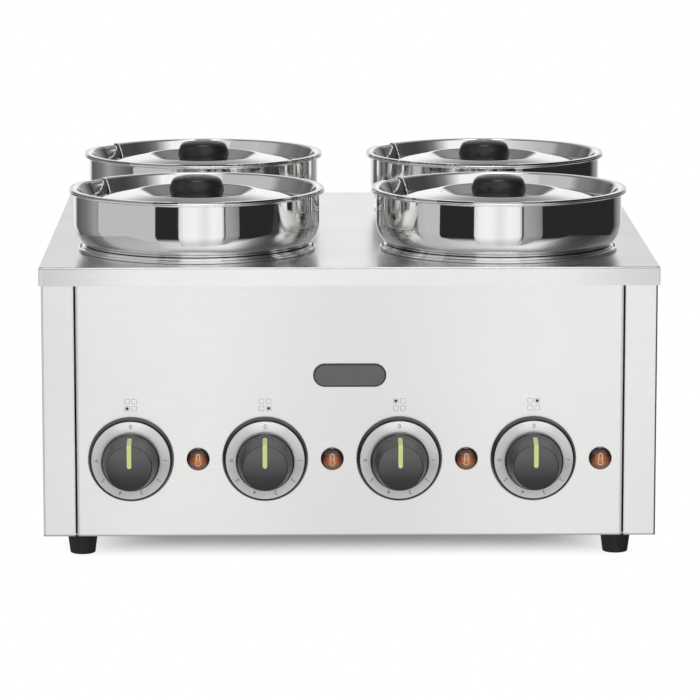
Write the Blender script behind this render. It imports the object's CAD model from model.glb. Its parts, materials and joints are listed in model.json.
"""Looks of the topping warmer: a satin steel cabinet with four polished, lidded pots in its deck."""
import json
from math import cos, radians, sin, tan, tau

import bmesh
import bpy
from mathutils import Matrix, Vector

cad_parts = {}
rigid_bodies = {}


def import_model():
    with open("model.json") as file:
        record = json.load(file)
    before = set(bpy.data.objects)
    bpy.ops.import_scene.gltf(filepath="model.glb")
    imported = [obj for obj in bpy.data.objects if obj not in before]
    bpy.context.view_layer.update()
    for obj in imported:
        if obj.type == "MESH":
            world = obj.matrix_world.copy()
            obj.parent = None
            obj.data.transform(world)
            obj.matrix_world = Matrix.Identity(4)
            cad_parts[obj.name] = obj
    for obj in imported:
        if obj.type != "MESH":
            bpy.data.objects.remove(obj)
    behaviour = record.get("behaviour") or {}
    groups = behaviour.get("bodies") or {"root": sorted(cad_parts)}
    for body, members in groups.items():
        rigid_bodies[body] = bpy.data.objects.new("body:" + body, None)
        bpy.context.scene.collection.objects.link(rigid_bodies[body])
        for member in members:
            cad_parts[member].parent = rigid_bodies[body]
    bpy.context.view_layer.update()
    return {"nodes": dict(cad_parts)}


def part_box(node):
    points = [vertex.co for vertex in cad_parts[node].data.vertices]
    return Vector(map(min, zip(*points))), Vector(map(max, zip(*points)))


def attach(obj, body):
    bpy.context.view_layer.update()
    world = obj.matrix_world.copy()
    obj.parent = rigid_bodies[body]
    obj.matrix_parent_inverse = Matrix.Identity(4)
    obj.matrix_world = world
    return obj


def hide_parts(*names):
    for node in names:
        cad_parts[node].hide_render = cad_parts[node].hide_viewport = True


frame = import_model()

# ---------------------------------------------------------------- camera
# A long lens three and a half metres off, a little above the deck and looking slightly down on it,
# so the uprights stay nearly parallel.
MM = 0.001
CAMERA_PLACE = (-0.0455, -3.4725, 0.7022)
CAMERA_TURN = radians(0.808)
CAMERA_TILT = radians(9.277)
CAMERA_LENS = 209.86
CAMERA_REACH = 50

scene = bpy.context.scene
scene.view_settings.view_transform = "Standard"
camera = bpy.data.objects.new("camera", bpy.data.cameras.new("camera"))
camera.data.lens = CAMERA_LENS
camera.location = CAMERA_PLACE
camera.rotation_euler = (radians(90) - CAMERA_TILT, 0, -CAMERA_TURN)
camera.data.clip_end = CAMERA_REACH
scene.collection.objects.link(camera)
scene.camera = camera


# ---------------------------------------------------------------- studio
# A white surround.  Polished steel mirrors a studio: a sky with a bright overhead panel, a dark
# room, and cards that stand round the object and are seen in nothing but reflections.
def linear(hex_colour):
    """An sRGB hex colour as the linear RGBA that the shaders take."""
    shares = [int(hex_colour[k:k + 2], 16) / 255 for k in (1, 3, 5)]
    return [s / 12.92 if s <= 0.04045 else ((s + 0.055) / 1.055) ** 2.4 for s in shares] + [1.0]


def add(tree, kind, settings=None, values=None, links=None):
    """Adds a node: its own settings, the values of its sockets, and the outputs linked to them."""
    made = tree.nodes.new(kind)
    for name, value in (settings or {}).items():
        setattr(made, name, value)
    for socket, value in (values or {}).items():
        made.inputs[socket].default_value = value
    for socket, output in (links or {}).items():
        tree.links.new(output, made.inputs[socket])
    return made


def set_ramp(ramp, stops):
    """Gives a colour ramp its stops: (place from 0 to 1, hex colour)."""
    elements = ramp.color_ramp.elements
    while len(elements) < len(stops):
        elements.new(0.5)
    for element, (place, colour) in zip(elements, sorted(stops)):
        element.position = place
        element.color = linear(colour)


def new_material(name):
    """An empty material with a Principled shader: the material, its tree and the shader."""
    made = bpy.data.materials.new(name)
    made.use_nodes = True
    tree = made.node_tree
    tree.nodes.clear()
    shader = add(tree, "ShaderNodeBsdfPrincipled")
    add(tree, "ShaderNodeOutputMaterial", links={"Surface": shader.outputs[0]})
    return made, tree, shader


# what stands round the object at two levels: (degrees to the right of straight in front, grey).
# It is no real room: the greys are set by eye for what they make the polished walls show
LOW_ROUND = [
    (-180, "#FFFFFF"), (-160, "#F0F0F0"), (-150, "#585858"), (-125, "#787878"), (-110, "#A0A0A0"),
    (-100, "#8A8A8A"), (-64, "#2A2A2A"), (134, "#2A2A2A"), (146, "#8C8C8C"), (158, "#A8A8A8"),
    (167, "#F4F4F4"), (180, "#FFFFFF"),
]
MID_ROUND = [
    (-180, "#9A9A9A"), (-166, "#707070"), (-150, "#A8A8A8"), (-128, "#5C5C5C"), (-112, "#808080"),
    (-98, "#888888"), (-89, "#BABABA"), (-74, "#C0C0C0"), (-38, "#DCDCDC"), (-18, "#EAEAEA"),
    (26, "#FFFFFF"), (42, "#FFFFFF"), (52, "#C4C4C4"), (61, "#808080"), (72, "#5A5A5A"), (86, "#444444"),
    (104, "#484848"), (128, "#767676"), (150, "#A8A8A8"), (166, "#707070"), (180, "#9A9A9A"),
]
# between these degrees of climb LOW_ROUND gives way to the paper below it, and above it to
# MID_ROUND, to the ceiling and to a pale panel in that: (from, to, what is seen beyond)
LEVELS = [(-20, -38, "#DADADA"), (12, 24, MID_ROUND), (54, 64, "#747474"), (70, 80, "#E8E8E8")]
OVERHEAD = (72, 86, 5.0)     # a small bright lamp straight above: from, to, strength
ROOM_LIGHT = 0.5             # what the walls throw on matt surfaces

world = bpy.data.worlds.new("studio")
scene.world = world
world.use_nodes = True
air = world.node_tree
air.nodes.clear()
ray = add(air, "ShaderNodeSeparateXYZ",
          links={"Vector": add(air, "ShaderNodeTexCoord").outputs["Generated"]})
forwards = add(air, "ShaderNodeMath", {"operation": "MULTIPLY"}, {1: -1.0}, {0: ray.outputs["Y"]})
bearing = add(air, "ShaderNodeMath", {"operation": "ARCTAN2"},
              links={0: ray.outputs["X"], 1: forwards.outputs[0]})
turn = add(air, "ShaderNodeMath", {"operation": "MULTIPLY_ADD"}, {1: 1 / tau, 2: 0.5},
           {0: bearing.outputs[0]})
climb = add(air, "ShaderNodeMath", {"operation": "ARCSINE"}, links={0: ray.outputs["Z"]})


def look_round(stops):
    """The colour that stops give in the direction that a ray takes."""
    ramp = add(air, "ShaderNodeValToRGB", links={"Fac": turn.outputs[0]})
    set_ramp(ramp, [((degrees + 180) / 360, colour) for degrees, colour in stops])
    return ramp.outputs["Color"]


mirrored = look_round(LOW_ROUND)
for start, end, above in LEVELS:
    share = add(air, "ShaderNodeMapRange", {"interpolation_type": "SMOOTHSTEP"},
                {"From Min": radians(start), "From Max": radians(end)}, {"Value": climb.outputs[0]})
    blend = add(air, "ShaderNodeMixRGB", links={"Fac": share.outputs[0], "Color1": mirrored})
    if isinstance(above, str):
        blend.inputs["Color2"].default_value = linear(above)
    else:
        air.links.new(look_round(above), blend.inputs["Color2"])
    mirrored = blend.outputs["Color"]
path = add(air, "ShaderNodeLightPath")
strength = add(air, "ShaderNodeMapRange", {"interpolation_type": "SMOOTHSTEP"}, {
    "From Min": radians(OVERHEAD[0]), "From Max": radians(OVERHEAD[1]),
    "To Min": 1.0, "To Max": OVERHEAD[2]}, {"Value": climb.outputs[0]})
studio = add(air, "ShaderNodeBackground", links={"Color": mirrored, "Strength": strength.outputs[0]})
dome = add(air, "ShaderNodeBackground", values={"Color": linear("#FFFFFF"), "Strength": ROOM_LIGHT})
backdrop = add(air, "ShaderNodeBackground", values={"Color": linear("#FFFFFF"), "Strength": 1.0})
seen = add(air, "ShaderNodeMixShader", links={
    0: path.outputs["Is Glossy Ray"], 1: dome.outputs[0], 2: studio.outputs[0]})
surround = add(air, "ShaderNodeMixShader", links={
    0: path.outputs["Is Camera Ray"], 1: seen.outputs[0], 2: backdrop.outputs[0]})
add(air, "ShaderNodeOutputWorld", links={"Surface": surround.outputs[0]})

# a soft box in front throws the cabinet's shadow back, under it
SOFT_BOX_SIZE = (2.8, 1.6)
SOFT_BOX_WATTS = 34
SOFT_BOX_PLACE = Vector((0.2, -2.3, 1.5))
SOFT_BOX_AIM = Vector((0, 0, 0.1))
lamp = bpy.data.objects.new("soft_box", bpy.data.lights.new("soft_box", "AREA"))
lamp.data.shape = "RECTANGLE"
lamp.data.size, lamp.data.size_y = SOFT_BOX_SIZE
lamp.data.energy = SOFT_BOX_WATTS
lamp.location = SOFT_BOX_PLACE
lamp.rotation_euler = (SOFT_BOX_PLACE - SOFT_BOX_AIM).to_track_quat("Z", "Y").to_euler()
lamp.visible_glossy = False
scene.collection.objects.link(lamp)

CARD_FOOT, CARD_TOP = -1.5, 0.9
CARD_FADE = (-0.75, -0.15)   # between these heights a card dims towards its foot


def stand_card(name, start, end, foot_share, tones):
    """Stands a glowing card on end between two places; it shows in reflections alone.
    tones run from start to end, and the foot keeps foot_share of their light."""
    mesh = bmesh.new()
    foot = mesh.edges.new([mesh.verts.new((*point, CARD_FOOT)) for point in (start, end)])
    raised = bmesh.ops.extrude_edge_only(mesh, edges=[foot])["geom"]
    bmesh.ops.translate(mesh, verts=[v for v in raised if isinstance(v, bmesh.types.BMVert)],
                        vec=(0, 0, CARD_TOP - CARD_FOOT))
    data = bpy.data.meshes.new(name)
    mesh.to_mesh(data)
    mesh.free()
    material, tree, _ = new_material(name)
    tree.nodes.clear()
    here = add(tree, "ShaderNodeSeparateXYZ",
               links={"Vector": add(tree, "ShaderNodeTexCoord").outputs["Object"]})
    along = add(tree, "ShaderNodeMapRange", values={"From Min": start[0], "From Max": end[0]},
                links={"Value": here.outputs["X"]})
    tone = add(tree, "ShaderNodeValToRGB", links={"Fac": along.outputs[0]})
    set_ramp(tone, tones)
    level = add(tree, "ShaderNodeMapRange", values={
        "From Min": CARD_FADE[0], "From Max": CARD_FADE[1], "To Min": foot_share},
        links={"Value": here.outputs["Z"]})
    light = add(tree, "ShaderNodeEmission", links={
        "Color": tone.outputs["Color"], "Strength": level.outputs[0]})
    add(tree, "ShaderNodeOutputMaterial", links={"Surface": light.outputs[0]})
    data.materials.append(material)
    card = bpy.data.objects.new(name, data)
    for ray in ("camera", "diffuse", "transmission", "volume_scatter", "shadow"):
        setattr(card, f"visible_{ray}", False)
    scene.collection.objects.link(card)


stand_card("white_card", (-0.48, -1.43), (0.67, -1.74), 0.72, [
    (0.0, "#DCDCDC"), (0.1, "#FAFAFA"), (0.3, "#FFFFFF"), (0.5, "#ECECEC"), (0.7, "#FFFFFF"),
    (0.93, "#F6F6F6"), (1.0, "#B4B4B4")])
stand_card("grey_card", (0.735, -1.785), (2.64, -3.30), 0.8, [
    (0.0, "#A8A8A8"), (0.3, "#A0A0A0"), (1.0, "#8C8C8C")])
stand_card("pale_card", (-0.645, -0.067), (-0.338, -0.444), 0.85, [(0.0, "#C4C4C4"), (1.0, "#C4C4C4")])

# seamless white paper: the cabinet's shadow lies on it underneath, and further out it is pure white
FLOOR_HALF = 12.0
deck_low, deck_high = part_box("deck")
FOOTPRINT = (("X", 0.0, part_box("side_panel_right")[1][0]),  # the cabinet's centre and half, each way
             ("Y", (deck_low[1] + deck_high[1]) / 2, (deck_high[1] - deck_low[1]) / 2))
CORNER_BLEND = 0.05          # how widely the distances from its sides join at a corner
PAPER_FADE = (-0.095, -0.005)  # from this far under its edge to there, the paper turns pure white
LEAST_GLOW = 0.04
paper, paper_tree, _ = new_material("seamless_paper")
paper_tree.nodes.clear()
matt = add(paper_tree, "ShaderNodeBsdfDiffuse", values={"Color": linear("#FAFAFA")})
spot = add(paper_tree, "ShaderNodeSeparateXYZ",
           links={"Vector": add(paper_tree, "ShaderNodeTexCoord").outputs["Object"]})
away = []
for axis, centre, half in FOOTPRINT:
    off = add(paper_tree, "ShaderNodeMath", {"operation": "SUBTRACT"}, {1: centre},
              {0: spot.outputs[axis]})
    far = add(paper_tree, "ShaderNodeMath", {"operation": "ABSOLUTE"}, links={0: off.outputs[0]})
    away.append(add(paper_tree, "ShaderNodeMath", {"operation": "SUBTRACT"}, {1: half},
                    {0: far.outputs[0]}))
outside = add(paper_tree, "ShaderNodeMath", {"operation": "SMOOTH_MAX"}, {2: CORNER_BLEND},
              {0: away[0].outputs[0], 1: away[1].outputs[0]})
white_share = add(paper_tree, "ShaderNodeMapRange", {"interpolation_type": "SMOOTHSTEP"}, {
    "From Min": PAPER_FADE[0], "From Max": PAPER_FADE[1], "To Min": LEAST_GLOW, "To Max": 1.0},
    {"Value": outside.outputs[0]})
lit = add(paper_tree, "ShaderNodeMath", {"operation": "MULTIPLY"}, links={
    0: white_share.outputs[0], 1: add(paper_tree, "ShaderNodeLightPath").outputs["Is Camera Ray"]})
glow = add(paper_tree, "ShaderNodeEmission", values={"Color": linear("#FFFFFF"), "Strength": 1.0})
paper_mix = add(paper_tree, "ShaderNodeMixShader",
                links={0: lit.outputs[0], 1: matt.outputs[0], 2: glow.outputs[0]})
add(paper_tree, "ShaderNodeOutputMaterial", links={"Surface": paper_mix.outputs[0]})

floor_mesh = bmesh.new()
bmesh.ops.create_grid(floor_mesh, x_segments=1, y_segments=1, size=FLOOR_HALF)
floor_data = bpy.data.meshes.new("floor")
floor_mesh.to_mesh(floor_data)
floor_mesh.free()
floor_data.materials.append(paper)
floor = bpy.data.objects.new("floor", floor_data)
floor.visible_glossy = False
scene.collection.objects.link(floor)


# ---------------------------------------------------------------- cabinet sheets
# Folded 1 mm stainless sheet, ground with a fine belt along the sheet: the panels, the base and
# the deck are bent, hung together and screwed from behind and below.
CLOUDS = 9.0                 # per metre: the belt's pressure drifts over about 110 mm
CLOUD_SHARE = 0.35
SCRATCH_DEPTH = 0.02 * MM
UPRIGHT_FOLD, LEVEL_FOLD = 0.02, 0.06  # a face is all fold where its squared slopes multiply to this
# Every tone below that changes over a sheet is set by eye and painted into the colour.  It stands
# for light and reflection, not for a change in the metal, so it stays there under any other light.


def finish_node(node, material):
    """Gives a node of the frame its material."""
    slots = frame["nodes"][node].data.materials
    if not slots:
        slots.append(material)
    for k in range(len(slots)):
        slots[k] = material


def ground_steel(name, colour, roughness, grain, shade, fold_dullness=0.0, fold_metal=1.0,
                 level_fold=1.0):
    """Satin stainless: belt scratches, grain of them per metre each way, give it a soft sheen.
    shade is where it darkens: (axis, distance from the middle, distance where it starts, share).
    Folds are toned down so that they don't flash: upright ones are rougher by fold_dullness and
    only fold_metal metallic, and level ones keep level_fold of the colour."""
    material, tree, shader = new_material(name)
    place = add(tree, "ShaderNodeTexCoord")
    here = place.outputs["Object"]
    lines = add(tree, "ShaderNodeMapping", values={"Scale": grain}, links={"Vector": here})
    scratch = add(tree, "ShaderNodeTexNoise", values={"Scale": 1.0, "Detail": 3.0, "Roughness": 0.6},
                  links={"Vector": lines.outputs[0]})
    cloud = add(tree, "ShaderNodeTexNoise", values={"Scale": CLOUDS, "Detail": 2.0},
                links={"Vector": here})
    both = add(tree, "ShaderNodeMath", {"operation": "MULTIPLY_ADD"}, {1: CLOUD_SHARE},
               {0: cloud.outputs["Fac"], 2: scratch.outputs["Fac"]})
    gloss = add(tree, "ShaderNodeMapRange", values={
        "From Min": 0.35, "From Max": 1.0, "To Min": roughness - 0.05, "To Max": roughness + 0.06},
        links={"Value": both.outputs[0]})
    facing = place.outputs["Normal"]
    squares = add(tree, "ShaderNodeVectorMath", {"operation": "MULTIPLY"}, links={0: facing, 1: facing})
    turned = add(tree, "ShaderNodeSeparateXYZ", links={"Vector": squares.outputs[0]})
    both_ways = add(tree, "ShaderNodeMath", {"operation": "MULTIPLY"}, links={
        0: turned.outputs["X"], 1: turned.outputs["Y"]})
    fold = add(tree, "ShaderNodeMapRange", values={"From Min": 0.0, "From Max": UPRIGHT_FOLD},
               links={"Value": both_ways.outputs[0]})
    forward_and_up = add(tree, "ShaderNodeMath", {"operation": "MULTIPLY"}, links={
        0: turned.outputs["Y"], 1: turned.outputs["Z"]})
    tone = add(tree, "ShaderNodeMapRange", values={
        "From Min": 0.0, "From Max": LEVEL_FOLD, "To Min": 1.0, "To Max": level_fold},
        links={"Value": forward_and_up.outputs[0]})
    dull = add(tree, "ShaderNodeMath", {"operation": "MULTIPLY_ADD"}, {1: fold_dullness},
               {0: fold.outputs[0], 2: gloss.outputs[0]})
    tree.links.new(dull.outputs[0], shader.inputs["Roughness"])
    bare = add(tree, "ShaderNodeMapRange", values={"To Min": 1.0, "To Max": fold_metal},
               links={"Value": fold.outputs[0]})
    tree.links.new(bare.outputs[0], shader.inputs["Metallic"])
    bump = add(tree, "ShaderNodeBump", values={"Strength": 0.12, "Distance": SCRATCH_DEPTH},
               links={"Height": scratch.outputs["Fac"]})
    tree.links.new(bump.outputs[0], shader.inputs["Normal"])
    spot = add(tree, "ShaderNodeSeparateXYZ", links={"Vector": here})
    for axis, line, start, share in shade:
        off = add(tree, "ShaderNodeMath", {"operation": "ABSOLUTE"}, links={0: spot.outputs[axis]})
        gap = add(tree, "ShaderNodeMath", {"operation": "SUBTRACT"}, {1: line}, {0: off.outputs[0]})
        near = add(tree, "ShaderNodeMath", {"operation": "ABSOLUTE"}, links={0: gap.outputs[0]})
        full = add(tree, "ShaderNodeMapRange", {"interpolation_type": "SMOOTHSTEP"}, {
            "From Min": 0.0, "From Max": start, "To Min": share, "To Max": 1.0},
            {"Value": near.outputs[0]})
        tone = add(tree, "ShaderNodeMath", {"operation": "MULTIPLY"},
                   links={0: full.outputs[0], 1: tone.outputs[0]})
    base = add(tree, "ShaderNodeVectorMath", {"operation": "SCALE"}, {0: linear(colour)[:3]},
               {"Scale": tone.outputs[0]})
    tree.links.new(base.outputs[0], shader.inputs["Base Color"])
    return material


# darker in the seams beside the front panel and along its lower edge, as contact shade would be,
# a tenth darker at its middle, and on the deck darker towards the two ends
front_low, front_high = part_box("front_panel")
panel_shade = [
    ("X", front_high[0] + 0.25 * MM, 3.0 * MM, 0.5), ("Z", front_low[2], 2.0 * MM, 0.35),
    ("X", 0.0, 170 * MM, 0.9),
]
deck_shade = [("X", deck_high[0], 90 * MM, 0.78)]
# scratches about 33 mm long and 0.4 mm apart up the panel, and 25 mm by 0.55 mm on the deck: the
# real ones are finer, and these are as coarse as they have to be to show
PANEL_GRAIN = (30, 30, 2500)
DECK_GRAIN = (40, 1800, 1800)
panel_steel = ground_steel("satin_stainless_panel", "#FEFEFD", 0.30, PANEL_GRAIN, panel_shade)
# the deck is smoother than the panels, so it mirrors the pots a little
deck_steel = ground_steel("bright_stainless_deck", "#F8F8F7", 0.24, DECK_GRAIN, deck_shade,
                          fold_dullness=0.45, fold_metal=0.15, level_fold=0.72)
for node in ("front_panel", "side_panel_left", "side_panel_right", "back_panel", "base_plate"):
    finish_node(node, panel_steel)
finish_node("deck", deck_steel)


# ---------------------------------------------------------------- wells
# Vessels spun from stainless sheet.  The mouth is curled into a bright collar that carries the
# pot, and runs out in a cove to a beaded lip on the deck.
SPIN_STEPS = 160
BEAD_SIDES = 14
WELD = 0.001                 # corners closer than this are one
SHEET = 1.0


def span(node, axis):
    """Where a node of the frame begins and ends along an axis (0 for X, 1, 2), in millimetres."""
    return [round(corner[axis] / MM, 2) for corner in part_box(node)]


def middle(node, axis):
    """The middle of a node of the frame along an axis, to a tenth of a millimetre."""
    return round(sum(span(node, axis)) / 2, 1)


DECK_TOP = span("deck", 2)[1]
POT_PLACES = {place: (middle(f"pot_{place}", 0), middle(f"pot_{place}", 1))
              for place in ("front_left", "front_right", "back_left", "back_right")}


def draw_profile(points, closed=False):
    """A new mesh with a line through points (radius, height, fillet), each corner rounded by its
    fillet: in few steps where that is small."""
    mesh = bmesh.new()
    corners = [mesh.verts.new((radius, 0, height)) for radius, height, _ in points]
    ends = list(zip(corners, corners[1:]))
    if closed:
        ends.append((corners[-1], corners[0]))
    for a, b in ends:
        mesh.edges.new((a, b))
    places = [corner.co.copy() for corner in corners]
    count = len(points)
    for k, (_, _, fillet) in enumerate(points):
        if not fillet:
            continue
        before, after = places[k - 1] - places[k], places[(k + 1) % count] - places[k]
        reach = fillet / tan(before.angle(after) / 2)
        steps = 3 if fillet < 1 else 6 if fillet < 5 else 9
        bmesh.ops.bevel(mesh, geom=[corners[k]], offset=reach, offset_type="OFFSET", affect="VERTICES",
                        segments=steps, profile=0.5, material=-1)
    return mesh


def spin_round(mesh, steps=SPIN_STEPS):
    """Spins all of a profile once about the upright axis and closes its seam and poles."""
    bmesh.ops.spin(mesh, geom=mesh.verts[:] + mesh.edges[:], cent=(0, 0, 0), axis=(0, 0, 1),
                   dvec=(0, 0, 0), angle=tau, steps=steps, use_merge=True, use_duplicate=False)
    bmesh.ops.remove_doubles(mesh, verts=mesh.verts[:], dist=WELD)
    bmesh.ops.recalc_face_normals(mesh, faces=mesh.faces[:])
    return mesh


def thicken(mesh):
    """Gives a spun sheet, open upwards, its thickness towards its inner side."""
    if min(mesh.faces, key=lambda face: face.calc_center_median().xy.length).normal.z > 0:
        bmesh.ops.reverse_faces(mesh, faces=mesh.faces[:])
    bmesh.ops.solidify(mesh, geom=mesh.faces[:], thickness=SHEET)


def join(placed):
    """One mesh from several: (mesh, its place)."""
    whole = bmesh.new()
    for mesh, place in placed:
        mesh.transform(place)
        spare = bpy.data.meshes.new("spare")
        mesh.to_mesh(spare)
        mesh.free()
        whole.from_mesh(spare)
        bpy.data.meshes.remove(spare)
    return whole


def roll_bead(radius, height, bead):
    """A rolled round bead about the upright axis."""
    circle = bmesh.new()
    stand = Matrix.Translation((radius, 0, height)) @ Matrix.Rotation(radians(90), 4, "X")
    bmesh.ops.create_circle(circle, segments=BEAD_SIDES, radius=bead, matrix=stand)
    return spin_round(circle)


HERE = Matrix.Identity(4)


def make_piece(name, mesh, material, body, place=HERE, stands_for=(), sharp=35):
    """Turns a mesh in millimetres into a smooth finished piece, in its place, on its body and in
    the place of the nodes that it stands_for.  Edges past sharp degrees stay crisp."""
    mesh.transform(Matrix.Scale(MM, 4) @ place)
    for face in mesh.faces:
        face.smooth = True
    data = bpy.data.meshes.new(name)
    mesh.to_mesh(data)
    mesh.free()
    data.set_sharp_from_angle(angle=radians(sharp))
    data.materials.append(material)
    piece = bpy.data.objects.new(name, data)
    scene.collection.objects.link(piece)
    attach(piece, body)
    if stands_for:
        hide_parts(*stands_for)


BUFFING_RINGS = 1600.0       # per metre: 0.6 mm apart, coarser than real ones, so that they show
HAZE_PATCHES = 30.0          # per metre: the mop's pressure drifts over some 33 mm
RING_DEPTH = 0.01 * MM
FLANGE = (101.2, 102.6)      # the radii between which a wall becomes a flange
INWARDS = (-0.02, -0.06)     # radius in metres times how far a face looks out: less is inside


def spun_steel(name, x, y, colour, roughness, inner_metal=1.0, rim_share=1.0):
    """Mirror-polished stainless: buffing leaves faint rings round the axis it was spun on.
    inner_metal below 1 makes the inside duller and whiter and rim_share below 1 darkens the
    flange.  Both are set by eye and stand for reflections, not for another finish."""
    material, tree, shader = new_material(name)
    here = add(tree, "ShaderNodeTexCoord").outputs["Object"]
    centred = add(tree, "ShaderNodeMapping", values={"Location": (-x * MM, -y * MM, 0)},
                  links={"Vector": here})
    axes = add(tree, "ShaderNodeSeparateXYZ", links={"Vector": centred.outputs[0]})
    flat = add(tree, "ShaderNodeCombineXYZ", links={"X": axes.outputs["X"], "Y": axes.outputs["Y"]})
    radius = add(tree, "ShaderNodeVectorMath", {"operation": "LENGTH"}, links={0: flat.outputs[0]})
    ring = add(tree, "ShaderNodeCombineXYZ", links={
        "X": radius.outputs["Value"], "Y": axes.outputs["Z"]})
    buffing = add(tree, "ShaderNodeTexNoise", {"noise_dimensions": "2D"},
                  {"Scale": BUFFING_RINGS, "Detail": 2.0}, {"Vector": ring.outputs[0]})
    haze = add(tree, "ShaderNodeTexNoise", values={"Scale": HAZE_PATCHES, "Detail": 3.0},
               links={"Vector": here})
    gloss = add(tree, "ShaderNodeMapRange", values={
        "From Min": 0.3, "From Max": 0.7, "To Min": roughness, "To Max": roughness + 0.035},
        links={"Value": haze.outputs["Fac"]})
    facing = add(tree, "ShaderNodeVectorMath", {"operation": "DOT_PRODUCT"}, links={
        0: flat.outputs[0], 1: add(tree, "ShaderNodeTexCoord").outputs["Normal"]})
    inside = add(tree, "ShaderNodeMapRange", values={"From Min": INWARDS[0], "From Max": INWARDS[1]},
                 links={"Value": facing.outputs["Value"]})
    metal = add(tree, "ShaderNodeMapRange", values={"To Min": 1.0, "To Max": inner_metal},
                links={"Value": inside.outputs[0]})
    tree.links.new(metal.outputs[0], shader.inputs["Metallic"])
    tree.links.new(gloss.outputs[0], shader.inputs["Roughness"])
    bump = add(tree, "ShaderNodeBump", values={"Strength": 0.04, "Distance": RING_DEPTH},
               links={"Height": buffing.outputs["Fac"]})
    tree.links.new(bump.outputs[0], shader.inputs["Normal"])
    worn = add(tree, "ShaderNodeMapRange", values={
        "From Min": FLANGE[0] * MM, "From Max": FLANGE[1] * MM, "To Min": 1.0, "To Max": rim_share},
        links={"Value": radius.outputs["Value"]})
    base = add(tree, "ShaderNodeVectorMath", {"operation": "SCALE"}, {0: linear(colour)[:3]},
               {"Scale": worn.outputs[0]})
    tree.links.new(base.outputs[0], shader.inputs["Base Color"])
    return material


WELL_LINE = [
    (0, -131, 0), (92.75, -131, 8), (92.75, 3.3, 0.75), (94.25, 3.3, 0.75), (94.25, 0, 2.5),
    (97.2, 0, 0),
]
WELL_BEAD = (97.2, 1.3, 1.3)  # radius, height above the deck, thickness
for place, (x, y) in POT_PLACES.items():
    well_steel = spun_steel(f"polished_well_steel_{place}", x, y, "#EEEEED", 0.08)
    vessel = spin_round(draw_profile(WELL_LINE))
    thicken(vessel)
    well = join(((vessel, HERE), (roll_bead(*WELL_BEAD), HERE)))
    make_piece(f"spun_well_{place}", well, well_steel, "housing",
               Matrix.Translation((x, y, DECK_TOP)), (f"well_{place}",))


# ---------------------------------------------------------------- pots
# Spun from one stainless sheet and buffed to a mirror: a straight lower wall in the well, a
# shoulder on the collar, a bowl-cornered upper wall and a rim rolled over a wire.
POT_LINE = [
    (0, -120, 0), (84, -120, 12), (84, 2.25, 1.5), (92.3, 2.25, 12.5), (101.7, 15.2, 24),
    (101.7, 49, 2.5), (104.8, 49, 0),
]
POT_BEAD = (104.8, 48.8, 1.2)
for place, (x, y) in POT_PLACES.items():
    vessel_steel = spun_steel(f"polished_pot_steel_{place}", x, y, "#F2F2F1", 0.025, inner_metal=0.85)
    vessel = spin_round(draw_profile(POT_LINE))
    thicken(vessel)
    pot = join(((vessel, HERE), (roll_bead(*POT_BEAD), HERE)))
    make_piece(f"spun_pot_{place}", pot, vessel_steel, f"pot_{place}",
               Matrix.Translation((x, y, DECK_TOP)), (f"pot_{place}",))


# ---------------------------------------------------------------- lids
# Pressed from stainless sheet and buffed: a flange on the rim, a flared wall inside it, a gutter,
# a domed ring and a dish for the knob, with a notch punched out for the ladle's handle.
LID_LINE = [
    (0, 39.5, 0), (35, 39.5, 12), (50, 47.5, 5), (74, 43.6, 60), (91, 37.5, 5), (95, 37.5, 4),
    (100.2, 50, 1.5), (105.2, 50, 0),
]
NOTCH_TURN = radians(148)
NOTCH_CORNER = 6.0           # the radius of its inner corners
NOTCH_CORNER_PLACE = (98.0, 6.0)
NOTCH_STEPS = 6
NOTCH_FIELD = (80, 22)       # its faces lie beyond the first and within the second, sideways


def punch_notch(mesh):
    """Cuts the notch out of the spun lid: straight sides and end, with rounded corners."""
    cuts = []
    for hand in (1, -1):
        for step in range(NOTCH_STEPS + 1):
            lean = radians(90 + 90 * step / NOTCH_STEPS)
            normal = Vector((cos(lean), hand * sin(lean), 0))
            centre = Vector((NOTCH_CORNER_PLACE[0], hand * NOTCH_CORNER_PLACE[1], 0))
            cuts.append((centre + NOTCH_CORNER * normal, normal))
    turn_back = Matrix.Rotation(-NOTCH_TURN, 4, "Z")
    mesh.transform(turn_back)
    for point, normal in cuts:
        near = [face for face in mesh.faces if face.calc_center_median().x > NOTCH_FIELD[0]
                and abs(face.calc_center_median().y) < NOTCH_FIELD[1]]
        around = {v for face in near for v in face.verts} | {e for face in near for e in face.edges}
        bmesh.ops.bisect_plane(mesh, geom=near + list(around), dist=0.0001, plane_co=point,
                               plane_no=normal)
    gone = [face for face in mesh.faces if face.calc_center_median().x > 0 and all(
        (face.calc_center_median() - point).dot(normal) < 0 for point, normal in cuts)]
    bmesh.ops.delete(mesh, geom=gone, context="FACES")
    mesh.transform(turn_back.inverted())


for place, (x, y) in POT_PLACES.items():
    lid_steel = spun_steel(f"polished_lid_steel_{place}", x, y, "#F2F2F1", 0.025, rim_share=0.5)
    lid = spin_round(draw_profile(LID_LINE))
    punch_notch(lid)
    thicken(lid)
    make_piece(f"pressed_lid_{place}", lid, lid_steel, f"lid_{place}",
               Matrix.Translation((x, y, DECK_TOP)), (f"lid_{place}",))


# ---------------------------------------------------------------- lid knobs
# Squat black phenolic knobs with a crowned top and a soft gloss, moulded, and screwed on through
# the lid from inside.
PEEL = 2200.0                # per metre: orange peel 0.45 mm apart
MOTTLE = 275.0               # per metre: flow marks 3.6 mm apart


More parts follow.
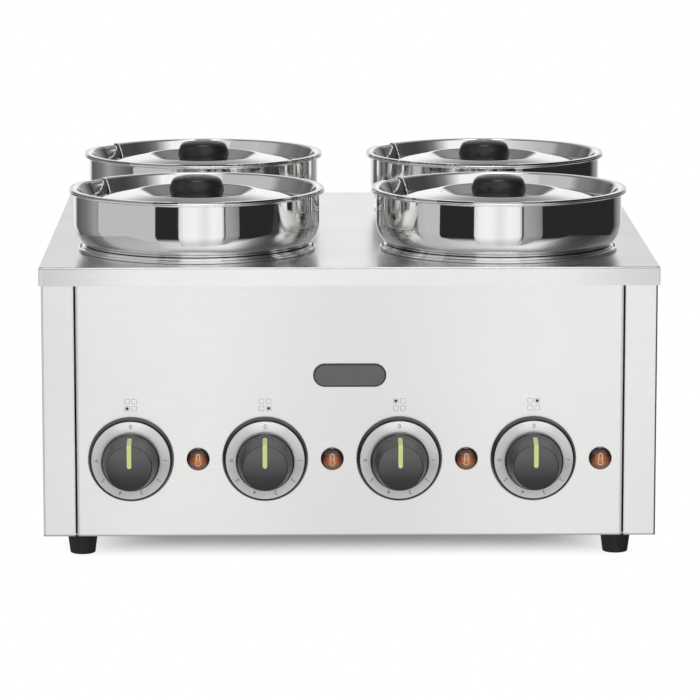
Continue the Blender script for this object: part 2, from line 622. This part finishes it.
def moulded(name, colour, roughness, speckle=0.25, peel_depth=0.004):
    """Moulded plastic, rubber or ink: an even colour with faint mottling and the mould's orange
    peel, peel_depth mm deep.  speckle is the share by which the colour drifts."""
    material, tree, shader = new_material(name)
    here = add(tree, "ShaderNodeTexCoord").outputs["Object"]
    mottle = add(tree, "ShaderNodeTexNoise", values={"Scale": MOTTLE, "Detail": 3.0},
                 links={"Vector": here})
    peel = add(tree, "ShaderNodeTexNoise", values={"Scale": PEEL, "Detail": 1.0}, links={"Vector": here})
    shade = add(tree, "ShaderNodeValToRGB", links={"Fac": mottle.outputs["Fac"]})
    base = linear(colour)
    for element, at, share in zip(shade.color_ramp.elements, (0.3, 0.7), (1 - speckle, 1 + speckle)):
        element.position = at
        element.color = [min(1.0, c * share) for c in base[:3]] + [1.0]
    tree.links.new(shade.outputs["Color"], shader.inputs["Base Color"])
    gloss = add(tree, "ShaderNodeMapRange", values={
        "From Min": 0.3, "From Max": 0.7, "To Min": roughness - 0.04, "To Max": roughness + 0.05},
        links={"Value": mottle.outputs["Fac"]})
    tree.links.new(gloss.outputs[0], shader.inputs["Roughness"])
    bump = add(tree, "ShaderNodeBump", values={"Strength": 0.2, "Distance": peel_depth * MM},
               links={"Height": peel.outputs["Fac"]})
    tree.links.new(bump.outputs[0], shader.inputs["Normal"])
    return material


phenolic = moulded("moulded_phenolic", "#1E1E1E", 0.30, speckle=0.04)
LID_KNOB_LINE = [
    (0, 40.5, 0), (8, 40.5, 0), (8, 41, 0), (20.6, 41, 2.5), (23.2, 50.5, 10), (19.5, 58.6, 5),
    (9.75, 61, 45), (0, 61, 0),
]
LID_KNOB_STEPS = 96
for place, (x, y) in POT_PLACES.items():
    lid_knob = spin_round(draw_profile(LID_KNOB_LINE), LID_KNOB_STEPS)
    make_piece(f"moulded_lid_knob_{place}", lid_knob, phenolic, f"lid_{place}",
               Matrix.Translation((x, y, DECK_TOP)), (f"lid_knob_{place}",), sharp=50)


# ---------------------------------------------------------------- dials
# A glossy black ABS ring round each knob, pegged into the panel, and in it a satin anodised
# aluminium disc, turned on a lathe and printed with the settings in grey.
PANEL_FACE = span("front_panel", 1)[0]
CONTROL_Z = middle("knob_front_left", 2)
KNOB_X = {place: middle(f"knob_{place}", 0) for place in POT_PLACES}
FIRST_KNOB = KNOB_X["front_left"]
KNOB_PITCH = KNOB_X["front_right"] - FIRST_KNOB
KNOB_STEPS = 128
DIAL_RING_LINE = [
    (32.9, 0, 0), (34.7, 0, 0.3), (34.7, 1.2, 0.6), (33.3, 6.4, 1.2), (32.3, 7.4, 0.5), (31.75, 7.0, 0.2),
    (31.75, 6.2, 0), (7, 6.2, 0), (7, 4.4, 0), (31.4, 4.4, 0),
]
FACE_LEVEL = 7.0             # the disc's face, out from the panel
SETTINGS = list(zip((0, 90, 126, 162, 198, 234, 270), "0123456"))  # degrees clockwise from the top
SETTING_RADIUS = 27.6
SETTING_SIZE = 5.0
FIGURE_DEPTH = 0.02          # to each side of the ground they are drawn on


def out_of_panel(x):
    """The place of something drawn upwards that points straight out of the panel, in the row of
    controls."""
    return Matrix.Translation((x, PANEL_FACE, CONTROL_Z)) @ Matrix.Rotation(radians(90), 4, "X")


def print_text(words, size):
    """A thin raised print of generic figures, flat on the ground and centred."""
    text = bpy.data.curves.new("figures", "FONT")
    text.body, text.size, text.extrude = words, size, FIGURE_DEPTH
    text.align_x, text.align_y = "CENTER", "CENTER"
    holder = bpy.data.objects.new("figures", text)
    data = bpy.data.meshes.new_from_object(holder)
    mesh = bmesh.new()
    mesh.from_mesh(data)
    bmesh.ops.remove_doubles(mesh, verts=mesh.verts[:], dist=0.0005)
    for block, thing in ((bpy.data.objects, holder), (bpy.data.curves, text), (bpy.data.meshes, data)):
        block.remove(thing)
    return mesh


def round_each(tree, first):
    """Distance to the right of and above the nearest centre of a row of four, knobs or lamps, whose
    first is at first, and the straight distance from it."""
    spot = add(tree, "ShaderNodeSeparateXYZ",
               links={"Vector": add(tree, "ShaderNodeTexCoord").outputs["Object"]})
    shift = add(tree, "ShaderNodeMath", {"operation": "SUBTRACT"}, {1: first * MM},
                {0: spot.outputs["X"]})
    across = add(tree, "ShaderNodeMath", {"operation": "WRAP"},
                 {1: KNOB_PITCH * MM / 2, 2: -KNOB_PITCH * MM / 2}, {0: shift.outputs[0]})
    up = add(tree, "ShaderNodeMath", {"operation": "SUBTRACT"}, {1: CONTROL_Z * MM},
             {0: spot.outputs["Z"]})
    both = add(tree, "ShaderNodeCombineXYZ", links={"X": across.outputs[0], "Y": up.outputs[0]})
    far = add(tree, "ShaderNodeVectorMath", {"operation": "LENGTH"}, links={0: both.outputs[0]})
    return across.outputs[0], up.outputs[0], far.outputs["Value"]


# glossier than the knob it surrounds
gloss_abs = moulded("moulded_gloss_abs", "#1F1F1F", 0.16, speckle=0.06)
rings = join([(spin_round(draw_profile(DIAL_RING_LINE, closed=True), KNOB_STEPS), out_of_panel(x))
              for x in KNOB_X.values()])
make_piece("moulded_dial_rings", rings, gloss_abs, "housing", stands_for=("dial_bezels",))

# light runs round a turned disc in two soft fans.  Here they are painted into the colour by eye,
# bright above and darker at the sides, so they don't move with the light or the eye
TURNING = 2600.0             # per metre: grooves 0.4 mm apart, coarser than real ones, to show
turned_alu, alu_tree, alu = new_material("turned_anodised_aluminium")
across, up, far = round_each(alu_tree, FIRST_KNOB)
angle = add(alu_tree, "ShaderNodeMath", {"operation": "ARCTAN2"}, links={0: across, 1: up})
fan = add(alu_tree, "ShaderNodeMath", {"operation": "MULTIPLY_ADD"}, {1: 1 / tau, 2: 0.5},
          {0: angle.outputs[0]})
fan_colour = add(alu_tree, "ShaderNodeValToRGB", links={"Fac": fan.outputs[0]})
set_ramp(fan_colour, [
    (0.0, "#E2E2E2"), (0.14, "#D4D4D4"), (0.22, "#CCCCCC"), (0.30, "#D2D2D2"), (0.40, "#DEDEDE"),
    (0.465, "#FFFFFF"), (0.54, "#FFFFFF"), (0.60, "#E8E8E8"), (0.70, "#D8D8D8"), (0.78, "#BCBCBC"),
    (0.86, "#D2D2D2"), (1.0, "#E2E2E2"),
])
groove = add(alu_tree, "ShaderNodeTexNoise", {"noise_dimensions": "1D"},
             {"Scale": TURNING, "Detail": 2.0}, {"W": far})
alu_gloss = add(alu_tree, "ShaderNodeMapRange", values={"To Min": 0.30, "To Max": 0.42},
                links={"Value": groove.outputs["Fac"]})
alu_bump = add(alu_tree, "ShaderNodeBump", values={"Strength": 0.15, "Distance": SCRATCH_DEPTH},
               links={"Height": groove.outputs["Fac"]})
alu_tree.links.new(fan_colour.outputs["Color"], alu.inputs["Base Color"])
alu_tree.links.new(alu_gloss.outputs[0], alu.inputs["Roughness"])
alu_tree.links.new(alu_bump.outputs[0], alu.inputs["Normal"])
alu.inputs["Metallic"].default_value = 0.35
finish_node("dial_faces", turned_alu)

# a matt print against the sheen of the disc
grey_ink = moulded("printed_grey_ink", "#6C6C6C", 0.5, speckle=0.1)
figures = join([
    (print_text(figure, SETTING_SIZE), out_of_panel(x) @ Matrix.Rotation(-radians(degrees), 4, "Z")
     @ Matrix.Translation((0, SETTING_RADIUS, FACE_LEVEL + FIGURE_DEPTH / 2)))
    for x in KNOB_X.values() for degrees, figure in SETTINGS])
make_piece("printed_dial_figures", figures, grey_ink, "housing")


# ---------------------------------------------------------------- control knobs
# Tapered black knobs, moulded hollow and pushed on the spindles, each with a skirt round its foot,
# a slightly crowned face and a pale yellow-green line let into it.
KNOB_LINE = [
    (22.3, 8.2, 0), (23.2, 7.8, 0.3), (23.6, 8.2, 0.3), (23.6, 15.8, 0.6), (22.4, 17.2, 0.6),
    (18.2, 41.7, 1.3), (9.0, 42.05, 40), (0, 42.05, 0),
]
KNOB_INSIDE = [(0, 30, 0), (16, 30, 1), (21.4, 8.0, 0), (22.3, 8.2, 0)]
knob_abs = moulded("moulded_satin_abs", "#282829", 0.24, speckle=0.03)
# the face is graded from dark below to grey above.  It is painted by eye and stands for a lamp's
# broad reflection in it, and it doesn't turn with the knob
GRADED_HALF = 24.0           # from the middle of the knob to the ends of the ramp
FACE_RISE = (40.9, 41.7)     # between these levels the cone becomes the face
CONE_SHARE = 0.32            # how much of the face's grey the cone has
knob_tree = knob_abs.node_tree
_, up, _ = round_each(knob_tree, FIRST_KNOB)
height = add(knob_tree, "ShaderNodeMapRange", values={
    "From Min": -GRADED_HALF * MM, "From Max": GRADED_HALF * MM}, links={"Value": up})
handled = add(knob_tree, "ShaderNodeValToRGB", links={"Fac": height.outputs[0]})
set_ramp(handled, [
    (0.0, "#161617"), (0.2, "#161617"), (0.33, "#242425"), (0.5, "#404041"), (0.7, "#525253"),
    (1.0, "#525253"),
])
knob_spot = add(knob_tree, "ShaderNodeSeparateXYZ",
                links={"Vector": add(knob_tree, "ShaderNodeTexCoord").outputs["Object"]})
on_face = add(knob_tree, "ShaderNodeMapRange", values={
    "From Min": (PANEL_FACE - FACE_RISE[0]) * MM, "From Max": (PANEL_FACE - FACE_RISE[1]) * MM,
    "To Min": CONE_SHARE, "To Max": 1.0}, links={"Value": knob_spot.outputs["Y"]})
knob_colour = add(knob_tree, "ShaderNodeVectorMath", {"operation": "SCALE"},
                  links={0: handled.outputs["Color"], "Scale": on_face.outputs[0]})
knob_tree.links.new(knob_colour.outputs[0], knob_tree.nodes["Principled BSDF"].inputs["Base Color"])
# the inlay is a little softer in gloss than the knob
pale_line = moulded("moulded_yellow_green_line", "#CAD289", 0.35, speckle=0.06)
for place, x in KNOB_X.items():
    knob = join(((draw_profile(KNOB_LINE), HERE), (draw_profile(KNOB_INSIDE), HERE)))
    bmesh.ops.remove_doubles(knob, verts=knob.verts[:], dist=WELD)
    make_piece(f"moulded_knob_{place}", spin_round(knob, KNOB_STEPS), knob_abs, f"knob_{place}",
               out_of_panel(x), (f"knob_{place}",), sharp=40)
    finish_node(f"knob_pointer_{place}", pale_line)


# ---------------------------------------------------------------- pilot lamps
# Domed amber lenses of clear acrylic over a dark holder, so they darken towards the rim, each
# with a pale printed thermometer sign.
LENS_RADIUS = 9.3
FIRST_LAMP = span("pilot_lamp_lenses", 0)[0] + LENS_RADIUS
LAMP_X = [x + FIRST_LAMP - FIRST_KNOB for x in KNOB_X.values()]
LENS_STEPS = 64
LENS_LINE = [
    (0, -8, 0), (6, -8, 0), (6, 0, 0), (LENS_RADIUS, 0, 0), (LENS_RADIUS, 1.4, 0.7), (6.2, 4.7, 9),
    (0, 5.4, 0),
]
GLOW_DROP = 0.28             # how far the lighter part sits below the middle, by eye
SWIRLS = 500.0               # per metre: flow marks 2 mm apart
SWIRL_SHARE = 0.16
lens_amber, lens_tree, lens = new_material("moulded_amber_acrylic")
_, up, far = round_each(lens_tree, FIRST_LAMP)
depth = add(lens_tree, "ShaderNodeMath", {"operation": "MULTIPLY_ADD"}, {1: GLOW_DROP}, {0: up, 2: far})
depth_share = add(lens_tree, "ShaderNodeMath", {"operation": "MULTIPLY"}, {1: 1 / (LENS_RADIUS * MM)},
                  {0: depth.outputs[0]})
swirl = add(lens_tree, "ShaderNodeTexNoise", values={"Scale": SWIRLS, "Detail": 2.0},
            links={"Vector": add(lens_tree, "ShaderNodeTexCoord").outputs["Object"]})
mixed = add(lens_tree, "ShaderNodeMath", {"operation": "MULTIPLY_ADD"}, {1: SWIRL_SHARE},
            {0: swirl.outputs["Fac"], 2: depth_share.outputs[0]})
amber = add(lens_tree, "ShaderNodeValToRGB", links={"Fac": mixed.outputs[0]})
set_ramp(amber, [
    (0.0, "#C9803F"), (0.35, "#B26A38"), (0.62, "#875032"), (0.85, "#4E3026"), (1.0, "#2A1C18"),
])
lens_tree.links.new(amber.outputs["Color"], lens.inputs["Base Color"])
lens.inputs["Roughness"].default_value = 0.12
lens.inputs["IOR"].default_value = 1.49
lens.inputs["Coat Weight"].default_value = 0.5
lenses = join([(spin_round(draw_profile(LENS_LINE), LENS_STEPS), out_of_panel(x)) for x in LAMP_X])
make_piece("moulded_lamp_lenses", lenses, lens_amber, "housing",
           stands_for=("pilot_lamp_lenses",))

TUBE, BULB, STROKE = 1.7, 2.3, 0.65  # half widths of the sign's tube and bulb, and its line
PRINT_DEPTH = 0.04
DOME_TOP, DOME_FALL = 5.42, 0.0205   # the dome's level, and its fall per square millimetre
SIGN_OUTER = [
    (-TUBE, 5.0, 1.6), (TUBE, 5.0, 1.6), (TUBE, -1.4, 0.4), (BULB, -2.2, 0.8), (BULB, -5.0, 2.1),
    (-BULB, -5.0, 2.1), (-BULB, -2.2, 0.8), (-TUBE, -1.4, 0.4),
]


def loft(*loops, cap=False):
    """A surface through closed upright loops, one after the other, and across the last one."""
    bands = []
    for first, second in zip(loops, loops[1:]):
        band = join(((first.copy(), HERE), (second.copy(), HERE)))
        bmesh.ops.bridge_loops(band, edges=band.edges[:])
        bands.append((band, HERE))
    if cap:
        cover = loops[-1].copy()
        bmesh.ops.contextual_create(cover, geom=cover.edges[:])
        bands.append((cover, HERE))
    whole = join(bands)
    bmesh.ops.remove_doubles(whole, verts=whole.verts[:], dist=WELD)
    bmesh.ops.recalc_face_normals(whole, faces=whole.faces[:])
    return whole


def ring_shape(outer, stroke):
    """A closed outline as a thin upright print, stroke wide, facing the front."""
    def inwards(value):
        return value - stroke if value > 0 else value + stroke
    inner = [(inwards(a), inwards(b), max(0.1, fillet - stroke)) for a, b, fillet in outer]
    return face_front(loft(draw_profile(outer, closed=True), draw_profile(inner, closed=True)))


def face_front(mesh):
    """Turns a flat upright shape to the front and gives it the thickness of a print."""
    for face in mesh.faces:
        if face.normal.y > 0:
            face.normal_flip()
    bmesh.ops.solidify(mesh, geom=mesh.faces[:], thickness=PRINT_DEPTH)
    return mesh


# a pale print whose tint goes towards the amber
pale_ink = moulded("printed_pale_ink", "#E2BFA4", 0.4, speckle=0.08)
signs = join([(ring_shape(SIGN_OUTER, STROKE), Matrix.Translation((x, 0, CONTROL_Z))) for x in LAMP_X])
for vertex in signs.verts:
    off = min(((vertex.co.x - x) ** 2 + (vertex.co.z - CONTROL_Z) ** 2) ** 0.5 for x in LAMP_X)
    vertex.co.y += PANEL_FACE - DOME_TOP + DOME_FALL * off ** 2
make_piece("printed_thermometer_signs", signs, pale_ink, "housing")


# ---------------------------------------------------------------- signs above the knobs
# Screen-printed on the panel: four rounded squares for the four pots, with a dark dot in the one
# that the knob below controls.
SIGN_Z = 127.8
SQUARE_HALF, SQUARE_PITCH, SQUARE_LINE, SQUARE_CORNER = 2.2, 5.8, 0.45, 1.1
CORNERS = ((-1, 1), (1, 1), (1, -1), (-1, -1))
SQUARE_OUTER = [(a * SQUARE_HALF, b * SQUARE_HALF, SQUARE_CORNER) for a, b in CORNERS]
DOT_RADIUS = 1.25
PRINT_LEVEL = PANEL_FACE - PRINT_DEPTH / 2
# both inks are matt against the sheen of the steel
light_ink = moulded("printed_light_grey_ink", "#B4B4B4", 0.5, speckle=0.05)
dark_ink = moulded("printed_dark_grey_ink", "#2E2E30", 0.5, speckle=0.05)
squares, dots = [], []
for place, x in KNOB_X.items():
    for column in (-0.5, 0.5):
        for row in (-0.5, 0.5):
            stand = Matrix.Translation(
                (x + column * SQUARE_PITCH, PRINT_LEVEL, SIGN_Z + row * SQUARE_PITCH))
            squares.append((ring_shape(SQUARE_OUTER, SQUARE_LINE), stand))
            if ("right" in place) == (column > 0) and ("back" in place) == (row > 0):
                dot = bmesh.new()
                bmesh.ops.create_circle(dot, cap_ends=True, segments=24, radius=DOT_RADIUS,
                                        matrix=Matrix.Rotation(radians(90), 4, "X"))
                dots.append((face_front(dot), stand))
make_piece("printed_pot_squares", join(squares), light_ink, "housing")
make_piece("printed_pot_dots", join(dots), dark_ink, "housing")


# ---------------------------------------------------------------- badge plate
# A bare pill-shaped plate of charcoal ABS: a darker, rolled rim round a face let into it, stuck
# to the panel.
BADGE_Z = middle("badge_plate", 2)
BADGE_HALF = (29.5, 9.5)
BADGE_RIM = [(0, 0), (0, 1.0), (0.3, 1.45), (0.7, 1.6), (1.1, 1.6), (1.35, 1.45)]  # inwards, out
BADGE_FACE = [(1.35, 1.45), (1.6, 1.45)]
END_FLAT = 0.01              # keeps the two fillets of a round end from meeting in a point


def pill(inset, out):
    """A closed pill-shaped loop, inset from the badge's edge, out from the panel."""
    wide, tall = BADGE_HALF[0] - inset, BADGE_HALF[1] - inset
    loop = draw_profile([(a * wide, b * tall, tall - END_FLAT) for a, b in CORNERS], closed=True)
    loop.transform(Matrix.Translation((0, PANEL_FACE - out, BADGE_Z)))
    return loop


# the rim is darker and shinier than the face
charcoal = moulded("moulded_charcoal_abs", "#5C5C5D", 0.42, speckle=0.06)
dark_rim = moulded("moulded_dark_abs", "#2E2E2F", 0.32, speckle=0.1)
make_piece("moulded_badge_face", loft(*[pill(*place) for place in BADGE_FACE], cap=True), charcoal,
           "housing", stands_for=("badge_plate",))
make_piece("moulded_badge_rim", loft(*[pill(*place) for place in BADGE_RIM]), dark_rim, "housing")


# ---------------------------------------------------------------- feet
# Tapered feet of moulded black rubber, screwed up into the base.
# Their skin is matt, so they hardly shine.
foot_rubber = moulded("moulded_black_rubber", "#1D1D1D", 0.62, speckle=0.3, peel_depth=0.04)
for place in POT_PLACES:
    finish_node(f"foot_{place}", foot_rubber)


# ---------------------------------------------------------------- fasteners and fittings
# Zinc-plated screws and spindles, barrel-plated to a clouded grey; the lamp holders, the gland
# and the terminal block are moulded, and the switches are cream resin.
FINE_CLOUDS, WIDE_CLOUDS = 160.0, 40.0  # per metre: 6 mm and 25 mm apart


def plated(name, colour, roughness, clouds=FINE_CLOUDS):
    """Plated or rolled steel: a metal whose gloss and shade drift in soft clouds."""
    material, tree, shader = new_material(name)
    cloud = add(tree, "ShaderNodeTexNoise", values={"Scale": clouds, "Detail": 4.0},
                links={"Vector": add(tree, "ShaderNodeTexCoord").outputs["Object"]})
    shade = add(tree, "ShaderNodeValToRGB", links={"Fac": cloud.outputs["Fac"]})
    base = linear(colour)
    for element, at, share in zip(shade.color_ramp.elements, (0.35, 0.65), (0.75, 1.1)):
        element.position = at
        element.color = [min(1.0, c * share) for c in base[:3]] + [1.0]
    tree.links.new(shade.outputs["Color"], shader.inputs["Base Color"])
    gloss = add(tree, "ShaderNodeMapRange", values={
        "From Min": 0.3, "From Max": 0.7, "To Min": roughness - 0.06, "To Max": roughness + 0.08},
        links={"Value": cloud.outputs["Fac"]})
    tree.links.new(gloss.outputs[0], shader.inputs["Roughness"])
    shader.inputs["Metallic"].default_value = 1.0
    return material


zinc = plated("zinc_plated_steel", "#B4B4B0", 0.32)
# brownish rolled strip; it is hidden inside, so its colour is a guess
sheath = plated("rolled_heater_sheath", "#8C8578", 0.38, WIDE_CLOUDS)
# nylon and switch resin both come matt from the mould
nylon = moulded("moulded_black_nylon", "#222223", 0.45)
resin = moulded("moulded_cream_resin", "#D8D0BE", 0.5, speckle=0.08)
for node in ("thermostat_screws", "foot_screws", "housing_screws"):
    finish_node(node, zinc)
for node in ("pilot_lamp_holders", "cable_gland"):
    finish_node(node, nylon)
finish_node("terminal_block", resin)
for place in POT_PLACES:
    finish_node(f"heater_band_{place}", sheath)
    finish_node(f"thermostat_{place}", resin)
    finish_node(f"thermostat_spindle_{place}", zinc)
    finish_node(f"lid_screw_{place}", zinc)
